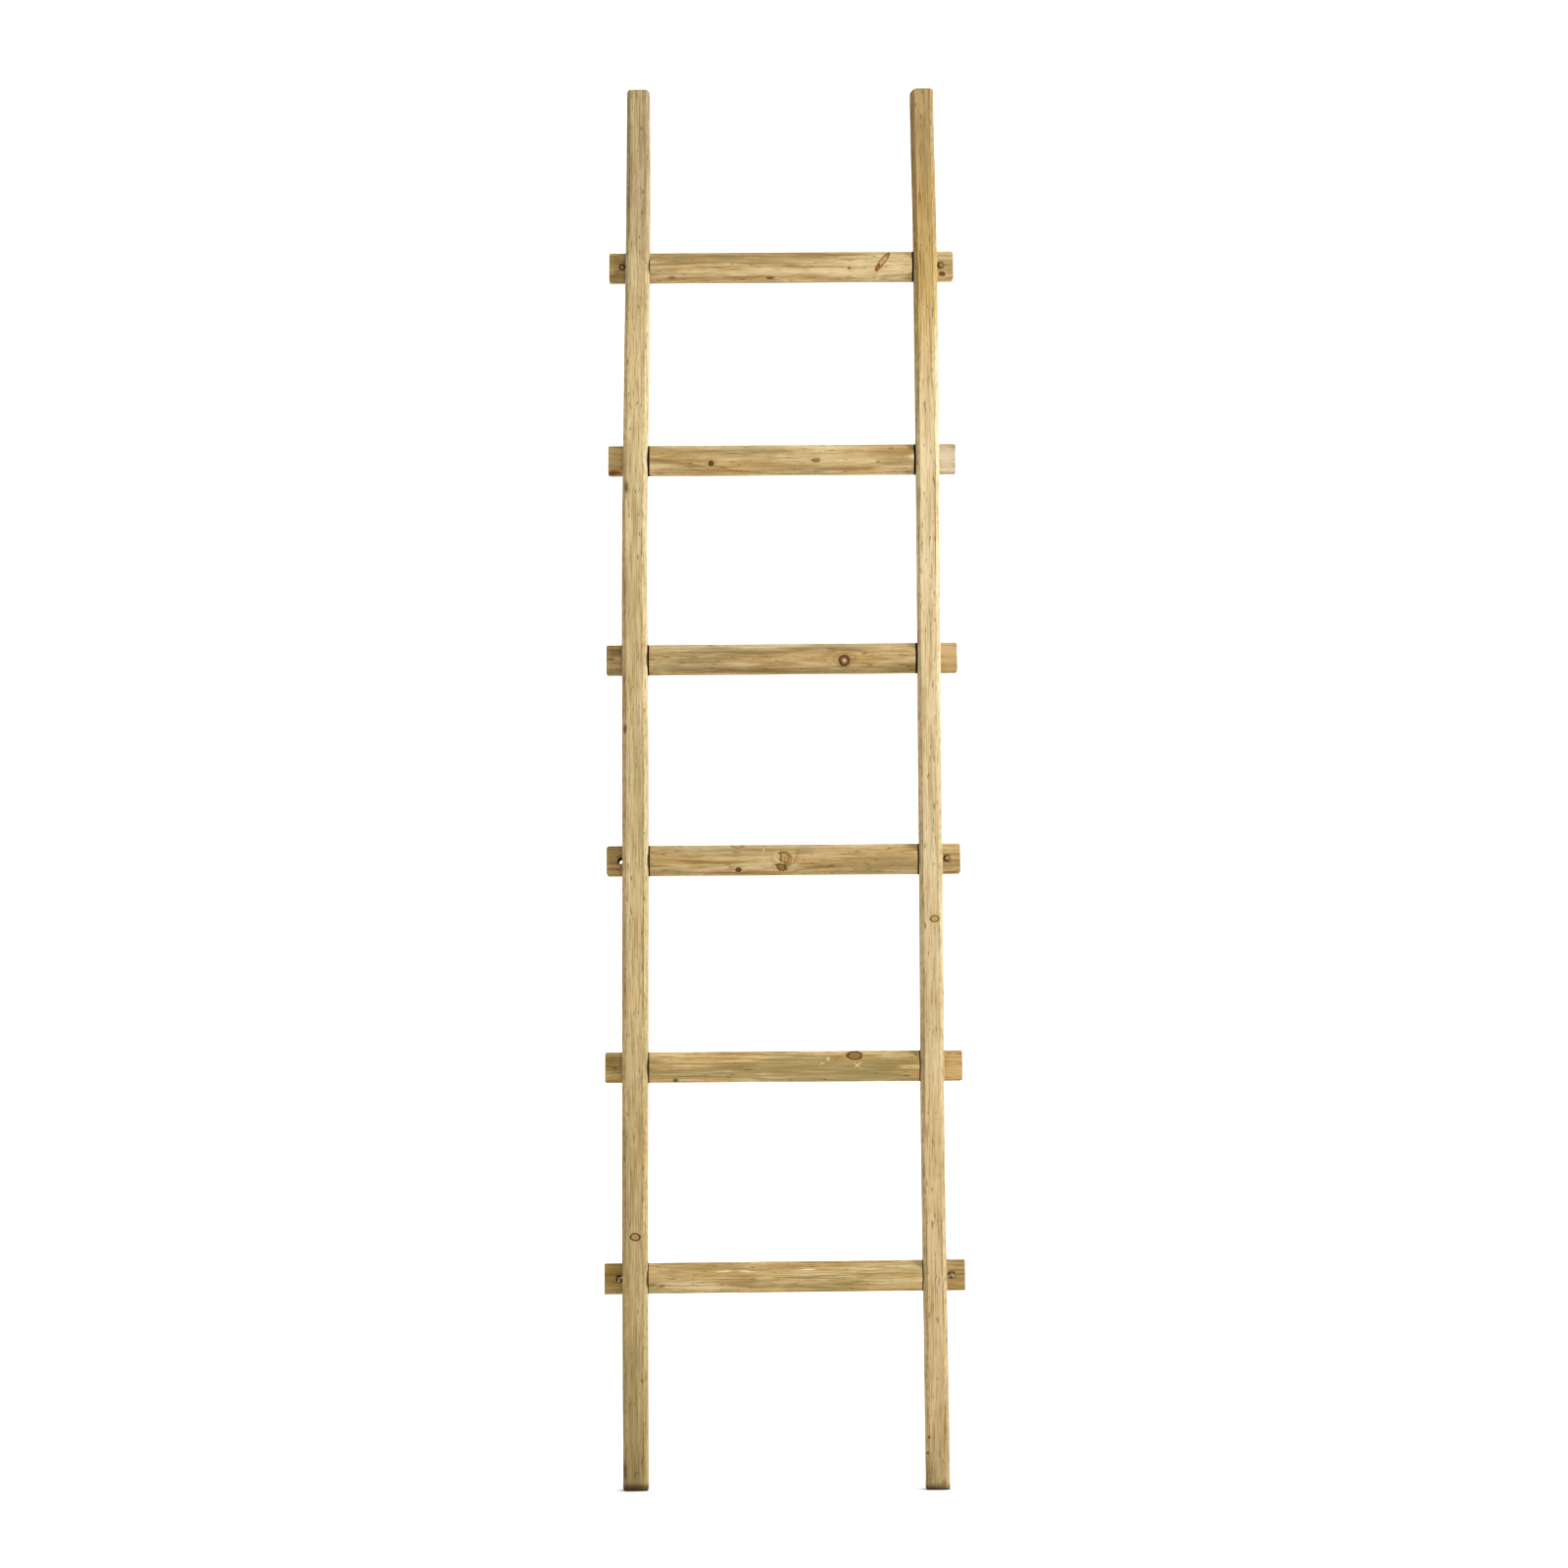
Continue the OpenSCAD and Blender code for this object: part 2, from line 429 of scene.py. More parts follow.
def rungRows(ends, bodyEnds):
    # positions along the rung, and how much of the crown stands at each: none on a tenon,
    # all on the body, with a square shoulder whose edge is barely eased
    (leftEnd, rightEnd), (left, right) = ends, bodyEnds
    end, foot, lip, full = tenon["endRound"], shoulder["foot"], shoulder["lip"], shoulder["body"]
    tip = end * np.sin(np.linspace(0, np.pi / 2, rungGrid["tipRows"] + 1))[1:]
    leftTab = np.linspace(leftEnd + end, left - foot, rungGrid["tenonRows"])
    rightTab = np.linspace(right + foot, rightEnd - end, rungGrid["tenonRows"])
    body = np.linspace(left + full, right - full, rungGrid["bodyRows"])
    rows = np.concatenate([(leftEnd + end - tip)[::-1], leftTab, [left, left + lip], body,
                           [right - lip, right], rightTab, rightEnd - end + tip])
    bare = np.zeros(len(tip) + len(leftTab))
    crown = np.concatenate([bare, shoulder["crown"], np.ones(len(body)), shoulder["crown"][::-1], bare])
    return rows, crown


def makeRung(name):
    # the section repeated along the rung, its crown falling to nothing at the shoulders; the
    # tenon's ends are rounded, and a peg hole is let into each tenon that has one
    look = rungLook[name]
    low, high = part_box(name)
    centreZ, halfHeight = middleOf(name).z, (high.z - low.z) / 2
    leftEnd, rightEnd = -look["reach"][0] * mm, look["reach"][1] * mm
    gapLeft, gapRight = (gap * mm for gap in look["gap"])
    bodyEnds = innerFace("left", centreZ) + gapLeft, innerFace("right", centreZ) - gapRight
    rows, crown = rungRows((leftEnd, rightEnd), bodyEnds)
    bodyY, bodyZ = rungSection(halfHeight, (high.y - low.y) / 2 - tenonHalfDepth)
    tabY, tabZ = rungSection(halfHeight, 0)
    columns = len(tabY)
    y = tabY + (bodyY - tabY) * crown[:, None]
    z = tabZ + (bodyZ - tabZ) * crown[:, None]
    x = np.repeat(rows[:, None], columns, 1)
    # tenon ends: corners rounded in the upright plane, faces eased by under a millimetre
    for distance, radius in zip((x - leftEnd, rightEnd - x), look["corner"]):
        z = np.sign(z) * np.minimum(np.abs(z), halfHeight - quarterPull(distance, radius * mm))
        y = y - np.sign(y) * quarterPull(distance, tenon["brim"]) * 0.8
    # planer waves on the crowned faces, and slightly uneven top and bottom
    seed = look["seed"]
    angle = np.arctan2(z, y)
    wave = rungSkin["wave"] * mm * pillow(x * 6, angle, seed, 3.1)
    wave = wave + rungSkin["ripple"] * mm * pillow(x * 30, angle, seed + 9, 2.2)
    y = y + np.sign(y) * np.minimum(wave, 0) * crown[:, None]
    sag = rungSkin["sag"] * mm * wobble(x * 2.2, seed + 4, 1.0, 3)
    z = z - np.sign(z) * np.abs(sag) * (np.abs(z) > halfHeight * 0.9)
    points = np.stack([x, y, heightAlong(name, x) + z], -1).reshape(-1, 3)
    cells = gridFaces(len(rows), columns)
    keep = np.ones(cells.shape[:2], bool)
    rims = []
    for holeX in look.get("holes", ()):
        points, faces = drillHole(points, rows, keep, holeX * mm, heightAlong(name, holeX * mm), columns)
        rims.append(faces)
    faces = np.concatenate([cells[keep][:, ::-1], *rims]).tolist() + endFaces(len(rows), columns)
    piece = meshFrom(name + "_wood", points, faces)
    level = points[:, 2] - heightAlong(name, points[:, 0])
    wear = smoothStep(halfHeight - edgeWorn["from"], halfHeight - edgeWorn["to"], np.abs(level))
    fromEnd = np.minimum(points[:, 0] - leftEnd, rightEnd - points[:, 0])
    paint(piece, "edgeWear", np.maximum(wear, 1 - smoothStep(0, edgeWorn["end"], fromEnd)))
    paint(piece, "crease", np.zeros(len(points)))
    # painted shade: the tenon within 8 mm of each shoulder, seen through the gap, is painted dark
    sunk = (crown < shoulder["crown"][1]) & (rows > bodyEnds[0] - gapShade) & (rows < bodyEnds[1] + gapShade)
    paint(piece, "paintedGapShade", rungShade(look, points, level, np.repeat(sunk * 1.0, columns)))
    return piece


def rungShade(look, points, level, sunk):
    # painted shade: the shoulders' sunk faces and the insides of the peg holes lie in deep shade, painted
    # dark
    dark = np.zeros(len(points))
    dark[:len(sunk)] = sunk
    radius, rim = hole["radius"], hole["rim"]
    for holeX in look.get("holes", ()):
        onRim = (np.arange(len(points)) >= len(sunk)) & (points[:, 0] * holeX > 0)
        fromHole = np.hypot(points[:, 0] - holeX * mm, level)
        dark = np.where(onRim, 1 - smoothStep(radius + 0.4 * rim, radius + 1.6 * rim, fromHole), dark)
    return dark


def drillHole(points, rows, keep, holeX, holeZ, columns):
    # a square window is taken out of the tenon's front and back, and each is closed with rings
    # that turn from the square into the hole's circle; a wall joins the two circles, a little
    # askew because the hole was bored by hand
    perFace = rungGrid["perFace"]
    backStart = perFace + 2 * rungGrid["perEdge"] + rungGrid["perFlat"]
    strips = np.arange(perFace), (backStart + np.arange(perFace))[::-1]
    reach = hole["radius"] + hole["window"]
    firstRow, lastRow = (nearest(rows, holeX + s * reach) for s in (-1, 1))
    z = points[firstRow * columns + strips[0], 2] - holeZ
    firstColumn, lastColumn = (nearest(z, s * reach) for s in (-1, 1))
    out, down = (hole["rim"] * np.array(hole[key])[:, None] for key in ("out", "down"))
    faces, circles = [], []
    for strip, shift, inward in ((strips[0], (0, 0), 1), (strips[1], hole["slant"], -1)):
        strip = strip[firstColumn:lastColumn + 1]
        keep[firstRow:lastRow, min(strip):max(strip)] = False
        outer = windowLoop(firstRow, lastRow, strip, columns)
        square = points[outer]
        heading = np.arctan2(square[:, 2] - holeZ, square[:, 0] - holeX)[None, :]
        ringX = holeX + shift[0] + (hole["radius"] + out) * np.cos(heading)
        ringY = square[:, 1].mean() + inward * down + 0 * heading
        ringZ = holeZ + shift[1] + (hole["radius"] + out) * np.sin(heading)
        rings = len(points) + np.arange(ringX.size).reshape(ringX.shape)
        points = np.concatenate([points, np.stack([ringX, ringY, ringZ], -1).reshape(-1, 3)])
        bands = np.concatenate([bandFaces(a, b) for a, b in zip([outer, *rings[:-1]], rings)])
        faces.append(bands[:, ::-inward])
        circles.append(rings[-1])
    faces.append(bandFaces(*circles)[:, ::-1])
    return points, np.concatenate(faces)


# at: where the peg sits off its hole's middle, and sink: how far it is driven in, in millimetres;
# lean: how askew its front end is sawn, in degrees
pegLook = {
    "peg_1_left": {"seed": 31, "at": (-0.3, 0.4), "sink": 1.4, "lean": 6.0},
    "peg_1_right": {"seed": 32, "at": (0.5, 0.4), "sink": 0.5, "lean": -9.0},
    "peg_4_right": {"seed": 33, "at": (0.6, 0.4), "sink": 0.1, "lean": 3.0},
    "peg_6_left": {"seed": 34, "at": (-0.4, 0.0), "sink": 1.4, "lean": -6.0},
    "peg_6_right": {"seed": 35, "at": (0.5, 0.3), "sink": 0.3, "lean": 12.0},
}
# rings along a peg as shares of its length, and the size of each
pegRings = {"along": (0, 1 / 30, 2 / 15, 1 / 3, 2 / 3, 13 / 15, 29 / 30, 1),
            "size": (0.86, 1, 1, 1, 1, 1, 1, 0.86)}
pegRound = {"points": 28, "flats": 2.5, "flatDepth": 0.05, "skewed": 3 * mm, "worn": 2 * mm, "follows": 0.6}


def makePeg(node):
    # a whittled dowel: rings round its axis from the front end to the back one, with a few flats
    # cut round it and its front end sawn off askew; it follows most of its hole's slant
    look = pegLook[node]
    low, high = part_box(node)
    rung = "rung_" + node[4]
    holeX = rungLook[rung]["holes"][node.endswith("right")] * mm
    holeZ = heightAlong(rung, holeX)
    radius, half = (high.x - low.x) / 2, high.y
    along = 2 * half * np.array(pegRings["along"])
    t = np.linspace(0, 2 * np.pi, pegRound["points"], endpoint=False)
    flats = 1 - pegRound["flatDepth"] * np.abs(np.sin(pegRound["flats"] * t + look["seed"]))
    reach = radius * np.array(pegRings["size"])[:, None] * flats
    x, z = reach * np.cos(t), reach * np.sin(t)
    front = -half + look["sink"] * mm
    y = front + along[:, None] * (half - front) / (2 * half) + 0 * t
    skew = math.tan(math.radians(look["lean"])) * (1 - smoothStep(0, pegRound["skewed"], along))[:, None]
    y = np.maximum(y + skew * x, -half)
    depth = (y + half) / (2 * half)
    slantX, slantZ = (v * depth * pegRound["follows"] for v in hole["slant"])
    atX, atZ = (v * mm * (1 - depth) for v in look["at"])
    points = np.stack([holeX + x + slantX + atX, y, holeZ + z + slantZ + atZ], -1)
    faces = gridFaces(len(along), len(t)).reshape(-1, 4)[:, ::-1].tolist() + endFaces(len(along), len(t))
    piece = meshFrom(node + "_wood", points, faces, smoothAngle=50)
    # the front end gets 1; the peg material paints shade on the sides back from it
    paint(piece, "edgeWear", np.repeat(1 - smoothStep(0, pegRound["worn"], along), len(t)))
    return piece


def addNode(tree, kind, inputs=(), **settings):
    node = tree.nodes.new(kind)
    for key, value in settings.items():
        setattr(node, key, value)
    for key, value in inputs:
        if isinstance(value, bpy.types.NodeSocket):
            tree.links.new(value, node.inputs[key])
        else:
            node.inputs[key].default_value = value
    return node


def calc(tree, operation, a, b=0.0, c=0.0):
    return addNode(tree, "ShaderNodeMath", [(0, a), (1, b), (2, c)], operation=operation).outputs[0]


def times(tree, a, b):
    return calc(tree, "MULTIPLY", a, b)


def vector(tree, operation, a, b=(0, 0, 0)):
    node = addNode(tree, "ShaderNodeVectorMath", [(0, a), (1, b)], operation=operation)
    return node.outputs["Value" if operation == "LENGTH" else "Vector"]


def component(tree, place, which):
    return addNode(tree, "ShaderNodeSeparateXYZ", [(0, place)]).outputs[which]


def attribute(tree, name):
    return addNode(tree, "ShaderNodeAttribute", attribute_name=name).outputs["Fac"]


def fit(tree, value, low, high, toLow=0.0, toHigh=1.0, kind="SMOOTHSTEP"):
    inputs = [("Value", value), ("From Min", low), ("From Max", high), ("To Min", toLow), ("To Max", toHigh)]
    return addNode(tree, "ShaderNodeMapRange", inputs, interpolation_type=kind).outputs["Result"]


def noise(tree, place, stretch, detail, rough):
    scaled = vector(tree, "MULTIPLY", place, stretch)
    inputs = [("Vector", scaled), ("Scale", 1.0), ("Detail", detail), ("Roughness", rough)]
    return addNode(tree, "ShaderNodeTexNoise", inputs, noise_dimensions="3D").outputs["Fac"]


def mixColour(tree, amount, a, b, blend="MIX"):
    # sockets 6 and 7 are the two colours, and output 2 is the mixed one
    ends = [(key, (*value, 1) if isinstance(value, tuple) else value) for key, value in ((6, a), (7, b))]
    inputs = [(0, amount), *ends]
    return addNode(tree, "ShaderNodeMix", inputs, data_type="RGBA", blend_type=blend).outputs[2]


def newMaterial(name):
    material = bpy.data.materials.new(name)
    material.use_nodes = True
    tree = material.node_tree
    return material, tree, tree.nodes["Principled BSDF"]


def addBump(tree, shader, height, distance, strength):
    inputs = [("Height", height), ("Distance", distance), ("Strength", strength)]
    bump = addNode(tree, "ShaderNodeBump", inputs)
    tree.links.new(bump.outputs["Normal"], shader.inputs["Normal"])


def spot(tree, place, at, size, turn, ragged=None, raggedness=0.0):
    # distance from a mark's middle, measured so that 1 is the mark's rim: an ellipse on the face,
    # turned by some degrees, with its rim pushed about by a noise
    shifted = vector(tree, "SUBTRACT", place, (at[0] * mm, 0, at[1] * mm))
    inputs = [("Vector", shifted), ("Rotation", (0, math.radians(turn), 0))]
    turned = addNode(tree, "ShaderNodeMapping", inputs, vector_type="POINT").outputs[0]
    scaled = vector(tree, "MULTIPLY", turned, (1 / (size[0] * mm), 0, 1 / (size[1] * mm)))
    distance = vector(tree, "LENGTH", scaled)
    if ragged is None:
        return distance
    return calc(tree, "MULTIPLY_ADD", calc(tree, "SUBTRACT", ragged, 0.5), raggedness, distance)


woodColours = {
    "pale": (0.520, 0.400, 0.225),
    "golden": (0.400, 0.278, 0.122),
    "late": (0.215, 0.128, 0.046),
    "olive": (0.205, 0.158, 0.066),
    "grimeAndShade": (0.085, 0.056, 0.022),
    "knot": (0.215, 0.092, 0.022),
    "knotRim": (0.058, 0.037, 0.014),
    "cream": (0.640, 0.540, 0.370),
    "tan": (0.410, 0.280, 0.138),
    "bleached": (0.475, 0.385, 0.270),
    "weathered": (0.255, 0.195, 0.118),
    "ochre": (0.300, 0.190, 0.030),
    "umber": (0.230, 0.150, 0.032),
    "black": (0.010, 0.007, 0.004),
}
# late wood, grey-green wood and fresh wood multiply whatever colour the timber has
woodTints = {"late": (0.46, 0.38, 0.26), "olive": (0.46, 0.48, 0.40), "fresh": (1.10, 1.12, 1.16)}
# waves to a metre along the grain and across it, then detail and roughness
grainNoises = {
    "slow": (3.2, 22, 2.0, 0.5),
    "ripple": (30, 90, 2.0, 0.5),
    "fading": (7, 40, 2.0, 0.5),
    "patchy": (9, 60, 4.0, 0.55),
    "ragged": (130, 260, 3.0, 0.6),
    "streak": (13, 430, 3.0, 0.68),         # about 2.3 mm apart
    "thin": (20, 720, 2.0, 0.65),           # about 1.4 mm apart
    "fibre": (45, 1150, 2.0, 0.65),         # under a millimetre apart
    "broad": (6, 50, 3.0, 0.6),
    "fleck": (70, 380, 1.0, 0.5),
    "crease": (5, 60, 3.0, 0.5),
}
# what a piece has unless its own look says otherwise; widths in millimetres
plainPine = {"tilt": 0.0, "ringDepth": 0.75, "wander": 14, "ripple": 1.6, "patch": 0.9, "streaks": 0.75,
             "thin": 0.6, "tintLow": 0.64, "creaseDark": 0.8, "tone": (1, 1, 1), "knots": ()}
wideMark = 20       # millimetres: a mark longer than this is broken up by the grain


def knotAt(at, size, strength, eye, push, turn=0, ragged=0.5, rim=0.8, collar="golden", heart=0.0):
    return {"at": at, "size": size, "strength": strength, "eye": eye, "push": push, "turn": turn,
            "ragged": ragged, "rim": rim, "collar": collar, "heart": heart}


# a mark on the front face: mostly stains, and on rungs 2 to 4 also a band of painted highlight along the top
def stain(at, size, colour, strength, turn=0, ragged=0.8):
    return {"at": at, "size": size, "colour": colour, "strength": strength, "turn": turn, "ragged": ragged}


def grainOf(tree, own):
    # one noise for each kind of unevenness in the timber, drawn out along the grain
    return {kind: noise(tree, own, (along, across, across), detail, rough)
            for kind, (along, across, detail, rough) in grainNoises.items()}


def knotsInto(tree, look, place, ragged, radius):
    # each knot pushes the year rings aside; returns the bent radius and each knot's distance
    distances = []
    for knot in look["knots"]:
        length, height = knot["size"]
        distances.append(spot(tree, place, knot["at"], knot["size"], knot["turn"], ragged, knot["ragged"]))
        wide = spot(tree, place, knot["at"], (length * 1.7, height * 1.25), knot["turn"])
        push = calc(tree, "EXPONENT", times(tree, calc(tree, "POWER", wide, 2.0), -0.45))
        radius = calc(tree, "MULTIPLY_ADD", push, knot["push"] * height * 0.9 * mm, radius)
    return radius, distances


def yearRings(tree, look, place, grain):
    # the late wood of the year rings, 0 to 1: rings round a pith that lies beside the piece, bent by
    # slow noise and by knots; each year has its own depth and fades in and out along the grain
    pithZ, pithY = look["pith"]
    off = vector(tree, "SUBTRACT", place, (0, pithY * mm, pithZ * mm))
    radius = vector(tree, "LENGTH", vector(tree, "MULTIPLY", off, (0, 1, 1)))
    radius = calc(tree, "MULTIPLY_ADD", component(tree, place, 0), look["tilt"], radius)
    radius = calc(tree, "MULTIPLY_ADD", grain["slow"], look["wander"] * mm, radius)
    radius = calc(tree, "MULTIPLY_ADD", grain["ripple"], look["ripple"] * mm, radius)
    radius, distances = knotsInto(tree, look, place, grain["ragged"], radius)
    ring = calc(tree, "DIVIDE", radius, look["ringWidth"] * mm)
    phase = calc(tree, "FRACT", ring)
    late = times(tree, fit(tree, phase, 0.25, 0.88), fit(tree, phase, 0.90, 1.0, 1.0, 0.0))
    year = addNode(tree, "ShaderNodeTexWhiteNoise", [("W", calc(tree, "FLOOR", ring))], noise_dimensions="1D")
    depth = fit(tree, year.outputs["Value"], 0.0, 1.0, 0.2, 1.0)
    fading = fit(tree, grain["fading"], 0.35, 0.62, 0.30, 1.0)
    return times(tree, late, times(tree, fading, depth)), distances


def timberColour(tree, look, place, grain, late):
    # pale wood with golden patches, slow changes from one end to the other, late wood, streaks,
    # fibres, grey-green tint in broad patches broken into streaks, and small dark flecks
    c = woodColours
    along = component(tree, place, 0)
    base = mixColour(tree, fit(tree, grain["patchy"], 0.36, 0.64, 0.0, look["patch"]), c["pale"], c["golden"])
    broken = fit(tree, grain["patchy"], 0.3, 0.6, 0.7, 1.0)
    # on a rung, the fade that darkens the left tenon is partly painted shade
    for start, stop, strength, shade in look["fades"]:
        reach = fit(tree, along, start * mm, stop * mm, 0.0, strength)
        base = mixColour(tree, times(tree, reach, broken), base, c[shade])
    wood = {kind: mixColour(tree, 1.0, base, tint, "MULTIPLY") for kind, tint in woodTints.items()}
    colour = mixColour(tree, times(tree, late, look["ringDepth"]), base, wood["late"])
    for kind, low, high, strength, tint in (
            ("streak", 0.50, 0.68, look["streaks"], "olive"), ("streak", 0.50, 0.32, 0.60, "fresh"),
            ("thin", 0.52, 0.66, look["thin"], "late"), ("fibre", 0.52, 0.68, 0.50, "late")):
        colour = mixColour(tree, fit(tree, grain[kind], low, high, 0.0, strength), colour, wood[tint])
    patches = calc(tree, "MULTIPLY_ADD", grain["streak"], 0.35, grain["broad"])
    tinted = fit(tree, patches, look["tintLow"], look["tintLow"] + 0.16, 0.0, look["tint"])
    colour = mixColour(tree, tinted, colour, wood["olive"])
    return mixColour(tree, fit(tree, grain["fleck"], 0.66, 0.74, 0.0, 0.6), colour, c["grimeAndShade"])


def marksOver(tree, look, place, grain, colour):
    # listed bands, stains and lines on the front face only; the grain breaks up the wide ones
    onFront = fit(tree, component(tree, place, 1), 5 * mm, -4 * mm)
    byStreak = fit(tree, grain["streak"], 0.38, 0.60, 0.30, 1.20)
    byThin = fit(tree, grain["thin"], 0.40, 0.60, 0.55, 1.15)
    for mark in look["marks"]:
        isWide = mark["size"][0] > wideMark
        edge = grain["patchy" if isWide else "ragged"]
        distance = spot(tree, place, mark["at"], mark["size"], mark["turn"], edge, mark["ragged"])
        strength = fit(tree, distance, 0.2, 1.0, mark["strength"], 0.0)
        strength = times(tree, strength, onFront)
        if isWide:
            strength = times(tree, times(tree, strength, byStreak), byThin)
        colour = mixColour(tree, strength, colour, woodColours[mark["colour"]])
    return colour


def knotsOver(tree, look, distances, colour):
    # each knot: a collar, an eye with rings of its own, a pale heart in some, and a dark rim
    c = woodColours
    for knot, distance in zip(look["knots"], distances):
        power = knot["strength"]
        collar = fit(tree, distance, 1.0, 2.1, 0.60 * power, 0.0)
        colour = mixColour(tree, collar, colour, c[knot["collar"]])
        waves = calc(tree, "SINE", times(tree, distance, 11.0))
        eye = mixColour(tree, fit(tree, waves, -1.0, 1.0, 0.0, 0.75), c[knot["eye"]], c["knot"])
        colour = mixColour(tree, fit(tree, distance, 0.82, 1.04, power, 0.0), colour, eye)
        if knot["heart"]:
            colour = mixColour(tree, fit(tree, distance, 0.12, 0.42, knot["heart"], 0.0), colour, c["cream"])
        rim = times(tree, fit(tree, distance, 0.66, 0.92), fit(tree, distance, 0.98, 1.25, 1.0, 0.0))
        colour = mixColour(tree, times(tree, rim, knot["rim"] * power), colour, c["knotRim"])
    return colour


def wearOver(tree, look, grain, endFacing, colour):
    # corners thumbed and a little dirty, a broken dark line along each crease, and end grain that
    # has drunk more stain
    c = woodColours
    dirty = fit(tree, grain["ragged"], 0.42, 0.66, 0.0, 0.25)
    colour = mixColour(tree, times(tree, attribute(tree, "edgeWear"), dirty), colour, c["grimeAndShade"])
    line = calc(tree, "POWER", attribute(tree, "crease"), 2.5)
    broken = fit(tree, grain["crease"], 0.42, 0.62, 0.0, look["creaseDark"])
    colour = mixColour(tree, times(tree, line, broken), colour, c["grimeAndShade"])
    endGrain = fit(tree, calc(tree, "ABSOLUTE", endFacing), 0.75, 0.97)
    return mixColour(tree, times(tree, endGrain, 0.45), colour, c["late"])


def woodMaterial(name, ownLook, centre, upright):
    # timber as a solid in the piece's own directions: its grain, then marks, knots, wear and tone,
    # and painted shade: black where a gap lies in deep shade
    look = {**plainPine, **ownLook}
    material, tree, shader = newMaterial(name)
    coordinates = addNode(tree, "ShaderNodeTexCoord")
    # local x runs along the grain, y from front to back, z across the face
    turn, move = (0, 0, 0), (-centre[0], -centre[1], -centre[2])
    if upright:
        turn, move = (0, math.radians(90), 0), (-centre[2], -centre[1], centre[0])
    inputs = [("Vector", coordinates.outputs["Object"]), ("Location", move), ("Rotation", turn)]
    place = addNode(tree, "ShaderNodeMapping", inputs, vector_type="POINT").outputs[0]
    # each piece is cut from another part of the same noises
    grain = grainOf(tree, vector(tree, "ADD", place, tuple(look["seed"] * s for s in (0.731, 0.117, 0.293))))
    late, distances = yearRings(tree, look, place, grain)
    colour = timberColour(tree, look, place, grain, late)
    colour = marksOver(tree, look, place, grain, colour)
    colour = knotsOver(tree, look, distances, colour)
    endFacing = component(tree, coordinates.outputs["Normal"], 2 if upright else 0)
    colour = wearOver(tree, look, grain, endFacing, colour)
    colour = mixColour(tree, 1.0, colour, look["tone"], "MULTIPLY")
    # painted shade: the gaps by the shoulders and the insides of the peg holes go towards black
    shade = calc(tree, "POWER", attribute(tree, "paintedGapShade"), 1.2)
    tree.links.new(mixColour(tree, shade, colour, woodColours["black"]), shader.inputs["Base Color"])
    rough = calc(tree, "MULTIPLY_ADD", late, 0.25, grain["patchy"])
    rough = fit(tree, rough, 0.3, 0.9, 0.50, 0.70, "LINEAR")
    tree.links.new(calc(tree, "MAXIMUM", rough, shade), shader.inputs["Roughness"])
    shader.inputs["Specular IOR Level"].default_value = 0.25
    relief = calc(tree, "MULTIPLY_ADD", late, 0.5, times(tree, grain["streak"], 0.8))
    relief = calc(tree, "MULTIPLY_ADD", grain["fibre"], 0.25, relief)
    addBump(tree, shader, relief, 0.3 * mm, 0.6)
    return material


